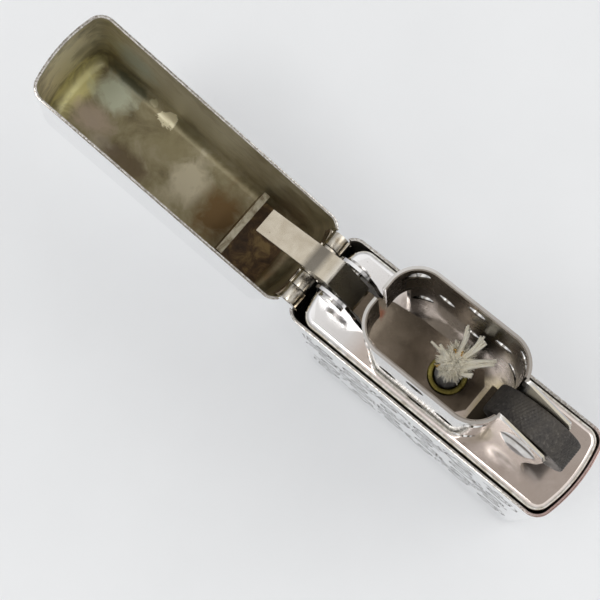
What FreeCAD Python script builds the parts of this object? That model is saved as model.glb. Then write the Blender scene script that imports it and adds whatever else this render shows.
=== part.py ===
import FreeCAD, Part
import math
import os

# Windproof flip-top lighter, modelled open.
# Millimetres. Origin at the centre of the case's base, +Z up, hinge at -X, decorated face at -Y.

# case and lid (drawn sheet shells)
CASE_LENGTH = 38.6
CASE_THICK = 12.55
CASE_HEIGHT = 35.0
WALL = 0.4
END_BOW = 1.0
CORNER_R = 2.1
EDGE_R = 1.2
LID_EDGE_R = 2.2
LID_RIM_Z = 35.3
LID_TOP_Z = 56.8
LID_OPEN_DEG = 162.0

# hinge
PIVOT_X = -19.2
PIVOT_Z = 35.15
KNUCKLES = 5
HINGE_WIDTH = 10.0
BARREL_R = 1.1
PIN_R = 0.5
PIN_BORE_R = 0.56
LEAF_THICK = 0.35
LEAF_DEPTH = 4.2
NOTCH_HALF = 5.3
NOTCH_DEPTH = 1.6

# stop plate inside the lid (lid drawn closed)
STOP_FACE_X = -10.5
STOP_EDGE_Z = 49.6
STOP_LOW_Y = -4.6
STOP_HIGH_Y = 5.0
STOP_THICK = 0.5
STOP_PLATE_THICK = 0.9

# insert
INSERT_LENGTH = 36.0
INSERT_THICK = 11.35
INSERT_CENTRE_X = 0.7
INSERT_BOW = 0.95
INSERT_CORNER_R = 1.9
INSERT_WALL = 0.45
INSERT_BOTTOM_Z = 2.0
INSERT_TOP_Z = 36.0
SHOULDER_R = 0.8

# chimney
CHIMNEY_LEFT_X = -8.73
CHIMNEY_RIGHT_X = 8.07
CHIMNEY_HALF = 5.11
CHIMNEY_CORNER_R = 3.6
CHIMNEY_WALL = 0.45
CHIMNEY_TOP_Z = 54.7
SEAM_LOW_Y = -0.8
SEAM_HIGH_Y = 0.4
VENT_R = 1.1
VENTS = (
    (41.2, (-6.4, 0.1, 6.2)),
    (46.9, (-3.7, 3.8)),
    (52.2, (-7.0, -0.1, 6.6)),
)

# wheel, cheeks and flint gear
WHEEL_X = 11.2
WHEEL_Z = 46.2
WHEEL_R = 5.1
WHEEL_HALF = 1.65
WHEEL_TEETH = 40
TOOTH_DEPTH = 0.22
CHEEK_IN = 1.95
CHEEK_OUT = 2.35
AXLE_R = 1.0
AXLE_HEAD_R = 2.3
AXLE_HEAD_H = 0.7
TUBE_R = 1.7
TUBE_BORE_R = 1.35
TUBE_LOW_Z = 3.8
TUBE_TOP_Z = 39.4
FLINT_R = 1.2
FLINT_TOP_Z = 40.85
FLINT_LOW_Z = 36.9
SPRING_LOW_Z = 9.2
SPRING_TOP_Z = 34.2
SPRING_TURNS = 18
SPRING_COIL_R = 0.95
SPRING_WIRE_R = 0.17
SCREW_HEAD_R = 2.5
SCREW_LOW_Z = 2.25
SCREW_HEAD_TOP_Z = 3.5

# cam
CAM_X = -14.15
CAM_Z = 40.8
CAM_TILT_DEG = 196.0
CAM_RISE = 3.8
CAM_REACH = 11.1
CAM_HEEL = (-11.9, 40.3)
CAM_HALF = 1.55
CAM_THICK = 0.45
CAM_BORE_R = 0.86
CAM_AXLE_R = 0.8
EAR_IN = 1.85
EAR_OUT = 2.25

# wick
WICK_X = 0.6
WICK_R = 1.45
WICK_TOP_Z = 43.2
EYELET_R = 2.3
WICK_BORE_R = 1.55
STRAND_R = 0.13
STRAND_OFFSETS = ((0.75, 0.35), (0.1, 0.95), (-0.7, 0.4), (-0.35, -0.8))

os.makedirs("parts", exist_ok=True)


def vec(x, y, z):
    return FreeCAD.Vector(x, y, z)


def arc(centre_x, centre_y, radius, start, end, z):
    """Arc in a horizontal plane through three points."""
    points = []
    for angle in (start, (start + end) / 2, end):
        x = centre_x + radius * math.cos(angle)
        y = centre_y + radius * math.sin(angle)
        points.append(vec(x, y, z))
    return Part.Arc(*points).toShape()


def case_plan(length, thick, bow, corner, inset, centre_x, z):
    """Plan face with straight long sides, bowed ends and rounded corners."""
    half = thick / 2
    big = (half * half + bow * bow) / (2 * bow)
    bow_x = length / 2 - big
    fillet_y = half - corner
    fillet_x = bow_x + math.sqrt((big - corner) ** 2 - fillet_y**2)
    turn = math.atan2(fillet_y, fillet_x - bow_x)
    big = big - inset
    small = corner - inset
    half = half - inset
    right = math.pi / 2
    left_x = 2 * centre_x
    bx = centre_x + bow_x
    fx = centre_x + fillet_x
    edges = [
        arc(bx, 0, big, -turn, turn, z),
        arc(fx, fillet_y, small, turn, right, z),
        Part.makeLine(vec(fx, half, z), vec(left_x - fx, half, z)),
        arc(left_x - fx, fillet_y, small, right, math.pi - turn, z),
        arc(left_x - bx, 0, big, math.pi - turn, math.pi + turn, z),
        arc(left_x - fx, -fillet_y, small, math.pi + turn, 3 * right, z),
        Part.makeLine(vec(left_x - fx, -half, z), vec(fx, -half, z)),
        arc(fx, -fillet_y, small, -right, -turn, z),
    ]
    return Part.Face(Part.Wire(edges))


def shell_block(inset, low, high):
    """Case or lid block, inset from the outer surface."""
    face = case_plan(CASE_LENGTH, CASE_THICK, END_BOW, CORNER_R, inset, 0, low)
    return face.extrude(vec(0, 0, high - low))


def insert_block(inset, low, high):
    face = case_plan(
        INSERT_LENGTH, INSERT_THICK, INSERT_BOW, INSERT_CORNER_R, inset, INSERT_CENTRE_X, low
    )
    return face.extrude(vec(0, 0, high - low))


def round_level(shape, z, radius):
    """Fillet the edges that lie in the plane at height z."""
    edges = []
    for edge in shape.Edges:
        box = edge.BoundBox
        if abs(box.ZMin - z) < 1e-4 and abs(box.ZMax - z) < 1e-4:
            edges.append(edge)
    return shape.makeFillet(radius, edges)


def box(low, high):
    size = [high[i] - low[i] for i in range(3)]
    return Part.makeBox(size[0], size[1], size[2], vec(*low))


def rod_y(x, z, radius, low, high):
    return Part.makeCylinder(radius, high - low, vec(x, low, z), vec(0, 1, 0))


def rod_z(x, radius, low, high):
    return Part.makeCylinder(radius, high - low, vec(x, 0, low), vec(0, 0, 1))


def side_plate(points, low, high):
    """Plate with the given outline in the XZ plane, between two Y positions."""
    corners = [vec(x, low, z) for x, z in points]
    wire = Part.makePolygon(corners + corners[:1])
    return Part.Face(wire).extrude(vec(0, high - low, 0))


def strip(points, thick):
    """Outline of a bent strip of even thickness under the given top line."""
    under = []
    for i, point in enumerate(points):
        before = points[max(i - 1, 0)]
        after = points[min(i + 1, len(points) - 1)]
        dx = after[0] - before[0]
        dz = after[1] - before[1]
        run = math.hypot(dx, dz)
        under.append((point[0] + dz / run * thick, point[1] - dx / run * thick))
    return points + under[::-1]


def opened(shape):
    """Turn a lid part from closed to open about the hinge pin."""
    turned = shape.copy()
    turned.rotate(vec(PIVOT_X, 0, PIVOT_Z), vec(0, -1, 0), LID_OPEN_DEG)
    return turned


def hinge_notch(low, high):
    return box((-CASE_LENGTH / 2 - 1, -NOTCH_HALF, low), (-17.6, NOTCH_HALF, high))


def make_case():
    outer = round_level(shell_block(0, 0, CASE_HEIGHT), 0, EDGE_R)
    inner = round_level(shell_block(WALL, WALL, CASE_HEIGHT + 1), WALL, EDGE_R - WALL)
    notch = hinge_notch(PIVOT_Z - NOTCH_DEPTH, CASE_HEIGHT + 1)
    return outer.cut(inner).cut(notch)


def lid_space():
    """The hollow of the lid, with the lid shut."""
    top = LID_TOP_Z - WALL
    return round_level(shell_block(WALL, LID_RIM_Z - 1, top), top, LID_EDGE_R - WALL)


def make_lid():
    outer = round_level(shell_block(0, LID_RIM_Z, LID_TOP_Z), LID_TOP_Z, LID_EDGE_R)
    notch = hinge_notch(LID_RIM_Z - 1, PIVOT_Z + NOTCH_DEPTH)
    return opened(outer.cut(lid_space()).cut(notch))


def knuckle_spans(first):
    pitch = HINGE_WIDTH / KNUCKLES
    spans = []
    for i in range(first, KNUCKLES, 2):
        low = -HINGE_WIDTH / 2 + i * pitch
        spans.append((low + 0.06, low + pitch - 0.06))
    return spans


def make_leaf(first, side):
    """Hinge leaf with its knuckles. side is -1 below the pin and +1 above it."""
    near = PIVOT_Z + side * (BARREL_R + 0.2)
    far = PIVOT_Z + side * (BARREL_R + LEAF_DEPTH)
    low = min(near, far)
    high = max(near, far)
    ring = shell_block(WALL, low, high).cut(shell_block(WALL + LEAF_THICK, low - 1, high + 1))
    leaf = ring.common(box((-20, -HINGE_WIDTH / 2, low), (-17, HINGE_WIDTH / 2, high)))
    for a, b in knuckle_spans(first):
        ends = sorted((PIVOT_Z + side * 0.1, PIVOT_Z + side * (BARREL_R + 0.35)))
        web = box((-18.8, a, ends[0]), (-17.9, b, ends[1]))
        leaf = leaf.fuse(web).fuse(rod_y(PIVOT_X, PIVOT_Z, BARREL_R, a, b))
    leaf = leaf.cut(rod_y(PIVOT_X, PIVOT_Z, PIN_BORE_R, -6, 6))
    return leaf.removeSplitter()


def make_lid_stop():
    top = LID_TOP_Z - WALL
    plate = box(
        (STOP_FACE_X, STOP_LOW_Y, STOP_EDGE_Z), (STOP_FACE_X + STOP_PLATE_THICK, STOP_HIGH_Y, top)
    )
    foot = box((-16.6, STOP_LOW_Y, top - STOP_THICK), (STOP_FACE_X, STOP_HIGH_Y, top))
    stop = plate.fuse(foot)
    for y in (-2.2, 2.2):
        mark = box((-14.6, y - 0.9, top - STOP_THICK - 0.1), (-12.8, y + 0.9, top - STOP_THICK + 0.12))
        stop = stop.cut(mark)
    return opened(stop.common(lid_space()).removeSplitter())


def make_insert_shell():
    outer = round_level(
        insert_block(0, INSERT_BOTTOM_Z, INSERT_TOP_Z), INSERT_TOP_Z, SHOULDER_R
    )
    inner_top = INSERT_TOP_Z - INSERT_WALL
    inner = round_level(insert_block(INSERT_WALL, INSERT_BOTTOM_Z - 1, inner_top), inner_top, 0.5)
    shell = outer.cut(inner)
    shell = shell.cut(box((-18, -EAR_IN, 33.6), (-9.6, EAR_IN, INSERT_TOP_Z + 1)))
    shell = shell.cut(rod_z(WICK_X, 1.95, 34, 37))
    shell = shell.cut(rod_z(WHEEL_X, TUBE_R + 0.02, 34, 37))
    ear = [
        (-16.65, 35.7),
        (-16.5, 41.2),
        (-15.85, 42.5),
        (-14.95, 43.0),
        (-13.35, 43.0),
        (-12.25, 42.3),
        (-11.45, 40.6),
        (-10.95, 38.4),
        (-10.15, 36.8),
        (-9.35, 35.7),
    ]
    for low, high in ((EAR_IN, EAR_OUT), (-EAR_OUT, -EAR_IN)):
        shell = shell.fuse(side_plate(ear, low, high))
    shell = shell.cut(rod_y(CAM_X, CAM_Z, CAM_AXLE_R + 0.01, -4, 4))
    return shell.removeSplitter()


def rounded_plan(left, right, half, radius, low, high):
    block = box((left, -half, low), (right, half, high))
    upright = []
    for edge in block.Edges:
        bounds = edge.BoundBox
        if bounds.ZMax - bounds.ZMin > 1:
            upright.append(edge)
    return block.makeFillet(radius, upright)


def make_chimney():
    low = INSERT_TOP_Z
    outer = rounded_plan(
        CHIMNEY_LEFT_X, CHIMNEY_RIGHT_X, CHIMNEY_HALF, CHIMNEY_CORNER_R, low, CHIMNEY_TOP_Z
    )
    inner = rounded_plan(
        CHIMNEY_LEFT_X + CHIMNEY_WALL,
        CHIMNEY_RIGHT_X - CHIMNEY_WALL,
        CHIMNEY_HALF - CHIMNEY_WALL,
        CHIMNEY_CORNER_R - CHIMNEY_WALL,
        low - 1,
        CHIMNEY_TOP_Z + 1,
    )
    wall = outer.cut(inner)
    wall = wall.cut(box((7, -CHEEK_OUT, low - 1), (9, CHEEK_OUT, 60)))
    cheek = [
        (7.75, low),
        (7.75, CHIMNEY_TOP_Z),
        (8.5, CHIMNEY_TOP_Z - 0.1),
        (13.75, 50.6),
        (14.2, 48.5),
        (14.0, 44.0),
        (13.2, 39.5),
        (13.0, low),
    ]
    for a, b in ((CHEEK_IN, CHEEK_OUT), (-CHEEK_OUT, -CHEEK_IN)):
        wall = wall.fuse(side_plate(cheek, a, b))
    foot = box((5.2, -CHEEK_OUT, low), (13.0, CHEEK_OUT, low + 0.35))
    wall = wall.fuse(foot.cut(rod_z(WHEEL_X, TUBE_R + 0.02, low - 1, low + 1)))
    wall = wall.cut(box((-10, SEAM_LOW_Y, low - 1), (-8, SEAM_HIGH_Y, 60)))
    wall = wall.cut(box((-10, -3.5, low - 1), (-6, 3.5, 45.5)))
    for z, places in VENTS:
        for x in places:
            wall = wall.cut(rod_y(x, z, VENT_R, -8, 8))
    wall = wall.cut(rod_y(WHEEL_X, WHEEL_Z, AXLE_R + 0.01, -4, 4))
    return wall.removeSplitter()


def make_cam_spring():
    top = [
        (-12.9, 38.1),
        (-11.9, 38.8),
        (-10.6, 38.6),
        (-8.0, 37.6),
        (-4.2, 36.55),
        (-2.4, 36.32),
        (4.7, 36.32),
    ]
    leaf = side_plate(strip(top, 0.3), -4, 4)
    half = [(-13.2, 1.4), (-11.0, 1.5), (-9.0, 2.45), (-5.0, 3.15), (-1.0, 3.3), (3.5, 3.05), (4.6, 1.65)]
    plan = half + [(x, -y) for x, y in half[::-1]]
    corners = [vec(x, y, 30) for x, y in plan]
    blank = Part.Face(Part.makePolygon(corners + corners[:1])).extrude(vec(0, 0, 15))
    leaf = leaf.common(blank)
    return leaf.cut(rod_z(WICK_X, 1.95, 30, 45)).removeSplitter()


def make_cam():
    tilt = math.radians(CAM_TILT_DEG)
    along = (math.cos(tilt), math.sin(tilt))
    up = (along[1], -along[0])
    base = (CAM_X + up[0] * CAM_RISE, CAM_Z + up[1] * CAM_RISE)
    tip = (base[0] + along[0] * CAM_REACH, base[1] + along[1] * CAM_REACH)
    mid = (base[0] + along[0] * 4.6 - up[0] * 0.18, base[1] + along[1] * 4.6 - up[1] * 0.18)
    bend = (base[0] + along[0] * 0.1, base[1] + along[1] * 0.1)
    shoulder = (bend[0] + 0.35, bend[1] - 0.25)
    end = (tip[0] + 0.12, tip[1] - 0.5)
    line = [tip, mid, bend, shoulder, CAM_HEEL]
    web = side_plate(strip(line, CAM_THICK), -CAM_HALF, CAM_HALF)
    lip = side_plate([tip, end, (end[0] + 0.4, end[1]), (tip[0] + 0.6, tip[1] - 0.1)], -CAM_HALF, CAM_HALF)
    web = web.fuse(lip)
    flange = [
        (bend[0] + along[0] * 5.5, bend[1] + along[1] * 5.5 - 0.4),
        (bend[0] + along[0] * 2.6, bend[1] + along[1] * 2.6 - 2.1),
        (CAM_X - 1.5, CAM_Z - 0.9),
        (CAM_X - 0.5, CAM_Z - 1.7),
        (CAM_X + 0.8, CAM_Z - 1.6),
        (CAM_HEEL[0] - 0.3, CAM_HEEL[1]),
        (shoulder[0] - 0.25, shoulder[1] - 0.3),
        (bend[0], bend[1] - 0.3),
    ]
    for low, high in ((CAM_HALF - CAM_THICK, CAM_HALF), (-CAM_HALF, CAM_THICK - CAM_HALF)):
        web = web.fuse(side_plate(flange, low, high))
    return web.cut(rod_y(CAM_X, CAM_Z, CAM_BORE_R, -4, 4)).removeSplitter()


def make_cam_rivet():
    rivet = rod_y(CAM_X, CAM_Z, CAM_AXLE_R, -EAR_OUT - 0.3, EAR_OUT + 0.3)
    for side in (-1, 1):
        ends = sorted((side * (EAR_OUT + 0.01), side * (EAR_OUT + 0.4)))
        rivet = rivet.fuse(rod_y(CAM_X, CAM_Z, 1.6, ends[0], ends[1]))
    return rivet.removeSplitter()


def domed_head(x, z, side):
    """Shallow dome that lies against the outer face of one wheel cheek."""
    face = CHEEK_OUT + 0.01
    ball_r = (AXLE_HEAD_R**2 + AXLE_HEAD_H**2) / (2 * AXLE_HEAD_H)
    ball = Part.makeSphere(ball_r, vec(x, side * (face + AXLE_HEAD_H - ball_r), z))
    ends = sorted((side * face, side * (face + 1)))
    return ball.common(rod_y(x, z, AXLE_HEAD_R + 1, ends[0], ends[1]))


def make_wheel_rivet():
    rivet = rod_y(WHEEL_X, WHEEL_Z, AXLE_R, -CHEEK_OUT - 0.2, CHEEK_OUT + 0.2)
    for side in (-1, 1):
        rivet = rivet.fuse(domed_head(WHEEL_X, WHEEL_Z, side))
    return rivet.removeSplitter()


def make_wheel():
    points = []
    step = 2 * math.pi / WHEEL_TEETH
    for i in range(WHEEL_TEETH):
        for radius, part in ((WHEEL_R, 0.0), (WHEEL_R, 0.45), (WHEEL_R - TOOTH_DEPTH, 0.72)):
            angle = (i + part) * step
            points.append((WHEEL_X + radius * math.cos(angle), WHEEL_Z + radius * math.sin(angle)))
    wheel = side_plate(points, -WHEEL_HALF, WHEEL_HALF)
    return wheel.cut(rod_y(WHEEL_X, WHEEL_Z, AXLE_R + 0.06, -4, 4))


def make_eyelet():
    barrel = rod_z(WICK_X, 1.9, 35.0, 36.8).fuse(rod_z(WICK_X, EYELET_R, 36.35, 36.8))
    barrel = barrel.fuse(rod_z(WICK_X, EYELET_R, 35.1, 35.5))
    barrel = barrel.cut(rod_z(WICK_X, WICK_BORE_R, 34, 38)).removeSplitter()
    return round_level(barrel, 36.8, 0.2)


def make_wick():
    """Wick from its trimmed top down and back and forth through the packing."""
    bend = 4.0
    z_runs = (27.0, 19.0, 11.0)
    left = -11.0
    right = 3.0
    start = vec(WICK_X, 0, WICK_TOP_Z)

    def quarter(cx, cz, from_deg, to_deg):
        marks = []
        for angle in (from_deg, (from_deg + to_deg) / 2, to_deg):
            a = math.radians(angle)
            marks.append(vec(cx + bend * math.cos(a), 0, cz + bend * math.sin(a)))
        return Part.Arc(*marks).toShape()

    edges = [
        Part.makeLine(start, vec(WICK_X, 0, z_runs[0] + bend)),
        quarter(WICK_X - bend, z_runs[0] + bend, 0, -90),
        Part.makeLine(vec(WICK_X - bend, 0, z_runs[0]), vec(left, 0, z_runs[0])),
        quarter(left, z_runs[0] - bend, 90, 270),
        Part.makeLine(vec(left, 0, z_runs[1]), vec(right, 0, z_runs[1])),
        quarter(right, z_runs[1] - bend, 90, -90),
        Part.makeLine(vec(right, 0, z_runs[2]), vec(left, 0, z_runs[2])),
    ]
    path = Part.Wire(edges)
    ring = Part.Wire(Part.makeCircle(WICK_R, start, vec(0, 0, 1)))
    wick = path.makePipeShell([ring], True, False)
    for dx, dy in STRAND_OFFSETS:
        hole = Part.makeCylinder(STRAND_R + 0.02, 20, vec(WICK_X + dx, dy, 32.0), vec(0, 0, 1))
        wick = wick.cut(hole)
    return wick


def make_wick_wire():
    strands = []
    for dx, dy in STRAND_OFFSETS:
        foot = vec(WICK_X + dx, dy, 32.05)
        strands.append(Part.makeCylinder(STRAND_R, WICK_TOP_Z + 0.5 - 32.05, foot, vec(0, 0, 1)))
    return Part.Compound(strands)


def make_flint_tube():
    tube = rod_z(WHEEL_X, TUBE_R, TUBE_LOW_Z, TUBE_TOP_Z)
    return tube.cut(rod_z(WHEEL_X, TUBE_BORE_R, TUBE_LOW_Z - 1, TUBE_TOP_Z + 1))


def make_flint():
    flint = rod_z(WHEEL_X, FLINT_R, FLINT_LOW_Z, FLINT_TOP_Z)
    return flint.cut(rod_y(WHEEL_X, WHEEL_Z, WHEEL_R + 0.25, -3, 3))


def make_plunger():
    head = rod_z(WHEEL_X, 1.15, SPRING_TOP_Z + 0.2, FLINT_LOW_Z - 0.02)
    stem = rod_z(WHEEL_X, 0.6, SPRING_TOP_Z - 2.4, SPRING_TOP_Z + 0.3)
    return head.fuse(stem).removeSplitter()


def make_flint_spring():
    height = SPRING_TOP_Z - SPRING_LOW_Z
    helix = Part.makeHelix(height / SPRING_TURNS, height, SPRING_COIL_R)
    start = vec(SPRING_COIL_R, 0, 0)
    ring = Part.Wire(Part.makeCircle(SPRING_WIRE_R, start, vec(0, 1, 0)))
    spring = Part.Wire(helix).makePipeShell([ring], True, True)
    spring.translate(vec(WHEEL_X, 0, SPRING_LOW_Z))
    return spring


def make_screw():
    head = rod_z(WHEEL_X, SCREW_HEAD_R, SCREW_LOW_Z, SCREW_HEAD_TOP_Z)
    for i in range(24):
        angle = 2 * math.pi * i / 24
        x = WHEEL_X + SCREW_HEAD_R * math.cos(angle)
        y = SCREW_HEAD_R * math.sin(angle)
        head = head.cut(Part.makeCylinder(0.14, 3, vec(x, y, SCREW_LOW_Z - 1), vec(0, 0, 1)))
    shank = rod_z(WHEEL_X, TUBE_BORE_R - 0.05, SCREW_HEAD_TOP_Z - 0.2, 8.6)
    slot = box((WHEEL_X - 4, -0.35, SCREW_LOW_Z - 1), (WHEEL_X + 4, 0.35, SCREW_LOW_Z + 0.6))
    return head.fuse(shank).cut(slot).removeSplitter()


def make_felt_pad():
    pad = insert_block(INSERT_WALL + 0.1, 2.2, 5.0)
    return pad.cut(rod_z(WHEEL_X, 3.0, 1, 6))


def pillow(left, right, low, high):
    block = box((left, -4.6, low), (right, 4.6, high))
    return block.makeFillet(min(right - left, high - low) * 0.36, block.Edges)


def make_packing(number):
    spans = (
        (-15.9, -1.4, 28.9, 35.0),
        (2.5, 9.0, 21.1, 35.0),
        (-10.6, 2.2, 20.8, 25.2),
        (-15.9, 3.0, 12.8, 17.2),
        (-15.9, 9.0, 5.3, 9.2),
        (13.2, 16.9, 5.5, 35.0),
    )
    return pillow(*spans[number])


NODES = {
    "case_bottom": make_case(),
    "hinge_lower_leaf": make_leaf(0, -1),
    "hinge_pin": rod_y(PIVOT_X, PIVOT_Z, PIN_R, -HINGE_WIDTH / 2, HINGE_WIDTH / 2),
    "lid_shell": make_lid(),
    "hinge_upper_leaf": opened(make_leaf(1, 1)),
    "lid_stop": make_lid_stop(),
    "insert_shell": make_insert_shell(),
    "chimney": make_chimney(),
    "cam_spring": make_cam_spring(),
    "cam": make_cam(),
    "cam_rivet": make_cam_rivet(),
    "flint_wheel": make_wheel(),
    "wheel_rivet": make_wheel_rivet(),
    "wick_eyelet": make_eyelet(),
    "wick": make_wick(),
    "wick_wire": make_wick_wire(),
    "flint_tube": make_flint_tube(),
    "flint": make_flint(),
    "flint_plunger": make_plunger(),
    "flint_spring": make_flint_spring(),
    "flint_screw": make_screw(),
    "felt_pad": make_felt_pad(),
}
for index in range(6):
    NODES["packing_%d" % (index + 1)] = make_packing(index)

for name, shape in NODES.items():
    shape.exportStep("parts/%s.step" % name)
    bounds = shape.BoundBox
    print(
        "%-17s solids %d valid %s x %.2f..%.2f y %.2f..%.2f z %.2f..%.2f"
        % (
            name,
            len(shape.Solids),
            shape.isValid(),
            bounds.XMin,
            bounds.XMax,
            bounds.YMin,
            bounds.YMax,
            bounds.ZMin,
            bounds.ZMax,
        )
    )
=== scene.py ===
import math
import random

import bmesh
import bpy
from mathutils import Matrix, Vector


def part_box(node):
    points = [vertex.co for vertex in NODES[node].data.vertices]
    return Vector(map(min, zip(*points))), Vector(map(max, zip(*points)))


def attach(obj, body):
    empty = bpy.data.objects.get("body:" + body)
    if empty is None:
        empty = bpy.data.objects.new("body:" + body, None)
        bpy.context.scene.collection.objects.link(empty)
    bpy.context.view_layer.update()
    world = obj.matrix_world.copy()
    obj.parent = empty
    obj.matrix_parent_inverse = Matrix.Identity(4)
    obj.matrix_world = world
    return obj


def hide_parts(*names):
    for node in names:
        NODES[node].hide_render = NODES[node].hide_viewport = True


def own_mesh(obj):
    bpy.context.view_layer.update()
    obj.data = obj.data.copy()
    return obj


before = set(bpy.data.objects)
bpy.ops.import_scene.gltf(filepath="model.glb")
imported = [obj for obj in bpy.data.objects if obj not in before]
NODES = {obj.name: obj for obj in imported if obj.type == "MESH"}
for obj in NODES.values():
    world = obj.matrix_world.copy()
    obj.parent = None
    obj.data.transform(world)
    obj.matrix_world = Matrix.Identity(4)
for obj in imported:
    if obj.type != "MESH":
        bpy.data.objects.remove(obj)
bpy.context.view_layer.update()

# Driving dimensions, in millimetres, as in the CAD.
MM = 0.001
HINGE = (-19.2, 35.15)
LID_OPEN = math.radians(162.0)
CASE_HALF = (19.3, 6.275)
CORNER_R = 2.1
END_BOW = 1.0
CASE_EDGE_R = 1.2
LID_EDGE_R = 2.2
CASE_RIM_Z = 35.0
LID_RIM_Z = 35.3
LID_TOP_Z = 56.8
PLATE_Z = 36.0
STOP_EDGE_Z = 49.6
CHIMNEY_X = -0.33
WHEEL_X = 11.2
WHEEL_Z = 46.2
WHEEL_R = 5.1
WHEEL_HALF = 1.62
AXLE_BORE_R = 1.06
WICK_X = 0.6
SPRING_LOW_Z = 9.2
SPRING_HEIGHT = 25.0
SPRING_TURNS = 18
SPRING_COIL_R = 0.95
SPRING_WIRE_R = 0.17
FELT_X = 0.7
FELT_HOLE_R = 3.05
FLOOR_Z = -0.05
FLOOR_HALF = 30000
random.seed(11)


# ------------------------------------------------------------- material builder


def fill_ramp(node, stops):
    """Give a colour ramp its stops, each a place and a colour."""
    points = node.color_ramp.elements
    while len(points) < len(stops):
        points.new(0.5)
    for point, (place, color) in zip(points, stops):
        point.position = place
        point.color = (*color, 1)


class Shader:
    """A small helper that builds one Principled material."""

    def __init__(self, name, color=(0.8, 0.8, 0.8), metallic=0.0, roughness=0.5):
        self.mat = bpy.data.materials.new(name)
        self.mat.use_nodes = True
        self.tree = self.mat.node_tree
        self.bsdf = self.tree.nodes["Principled BSDF"]
        self.bsdf.inputs["Base Color"].default_value = (*color, 1)
        self.bsdf.inputs["Metallic"].default_value = metallic
        self.bsdf.inputs["Roughness"].default_value = roughness
        self.coords = self.tree.nodes.new("ShaderNodeTexCoord")

    def put(self, socket, value):
        """Link a node output into a socket, or set a plain value."""
        if isinstance(value, bpy.types.NodeSocket):
            self.tree.links.new(value, socket)
        elif isinstance(value, (tuple, list)) and len(value) == 3 and socket.type == "RGBA":
            socket.default_value = (*value, 1)
        else:
            socket.default_value = value

    def math(self, kind, a, b=0.0):
        node = self.tree.nodes.new("ShaderNodeMath")
        node.operation = kind
        self.put(node.inputs[0], a)
        self.put(node.inputs[1], b)
        return node.outputs[0]

    def hypot(self, a, b, squared=False):
        """Length of the vector (a, b), or its square."""
        total = self.math("ADD", self.math("MULTIPLY", a, a), self.math("MULTIPLY", b, b))
        return total if squared else self.math("SQRT", total)

    def object_mm(self, scale=1.0, stretch=(1, 1, 1), turn=(0, 0, 0)):
        """Object coordinates in millimetres, stretched or turned."""
        node = self.tree.nodes.new("ShaderNodeMapping")
        node.inputs["Scale"].default_value = [1000 * scale * s for s in stretch]
        node.inputs["Rotation"].default_value = turn
        self.tree.links.new(self.coords.outputs["Object"], node.inputs["Vector"])
        return node.outputs[0]

    def noise(self, vector, scale=1.0, detail=4.0, rough=0.55, warp=0.0):
        node = self.tree.nodes.new("ShaderNodeTexNoise")
        node.inputs["Scale"].default_value = scale
        node.inputs["Detail"].default_value = detail
        node.inputs["Roughness"].default_value = rough
        node.inputs["Distortion"].default_value = warp
        self.tree.links.new(vector, node.inputs["Vector"])
        return node.outputs["Fac"]

    def cells(self, vector):
        """Distance to the nearest of many scattered points."""
        node = self.tree.nodes.new("ShaderNodeTexVoronoi")
        node.inputs["Scale"].default_value = 1.0
        self.tree.links.new(vector, node.inputs["Vector"])
        return node.outputs["Distance"]

    def ramp(self, value, stops):
        node = self.tree.nodes.new("ShaderNodeValToRGB")
        fill_ramp(node, stops)
        self.put(node.inputs[0], value)
        return node.outputs[0]

    def mix(self, fac, a, b):
        """Colour a where fac is 0 and colour b where it is 1."""
        node = self.tree.nodes.new("ShaderNodeMix")
        node.data_type = "RGBA"
        self.put(node.inputs["Factor"], fac)
        self.put(node.inputs[6], a)
        self.put(node.inputs[7], b)
        return node.outputs[2]

    def mix_value(self, fac, a, b):
        node = self.tree.nodes.new("ShaderNodeMix")
        self.put(node.inputs["Factor"], fac)
        self.put(node.inputs[2], a)
        self.put(node.inputs[3], b)
        return node.outputs[0]

    def ranged(self, value, low, high, out_low=0.0, out_high=1.0):
        """Map low..high to out_low..out_high, held flat beyond the ends."""
        node = self.tree.nodes.new("ShaderNodeMapRange")
        node.inputs["From Min"].default_value = low
        node.inputs["From Max"].default_value = high
        node.inputs["To Min"].default_value = out_low
        node.inputs["To Max"].default_value = out_high
        self.put(node.inputs["Value"], value)
        return node.outputs[0]

    def bump(self, height, distance, strength):
        node = self.tree.nodes.new("ShaderNodeBump")
        node.inputs["Distance"].default_value = distance * MM
        node.inputs["Strength"].default_value = strength
        self.put(node.inputs["Height"], height)
        self.tree.links.new(node.outputs[0], self.bsdf.inputs["Normal"])

    def set(self, name, value):
        """Set or link one input of the Principled shader."""
        self.put(self.bsdf.inputs[name], value)

    def blob(self, vector, centre, reach, warp=0.25, soft=0.5):
        """Soft irregular patch around a place, 1 in the middle and 0 outside."""
        shift = self.tree.nodes.new("ShaderNodeMapping")
        shift.vector_type = "TEXTURE"
        shift.inputs["Location"].default_value = centre
        shift.inputs["Scale"].default_value = reach
        self.tree.links.new(vector, shift.inputs["Vector"])
        length = self.tree.nodes.new("ShaderNodeVectorMath")
        length.operation = "LENGTH"
        self.tree.links.new(shift.outputs[0], length.inputs[0])
        grain = self.noise(vector, 0.5, 4.0, 0.6, 0.5)
        wobble = self.math("MULTIPLY", self.math("SUBTRACT", grain, 0.5), warp * 6)
        return self.ranged(self.math("ADD", length.outputs[1], wobble), 1.0 + soft / 2, 1.0 - soft)

    def axis(self, vector, index):
        """One component of a vector: 0 for x, 1 for y, 2 for z."""
        node = self.tree.nodes.new("ShaderNodeSeparateXYZ")
        self.tree.links.new(vector, node.inputs[0])
        return node.outputs[index]


# ------------------------------------------------------------------- materials


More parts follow.
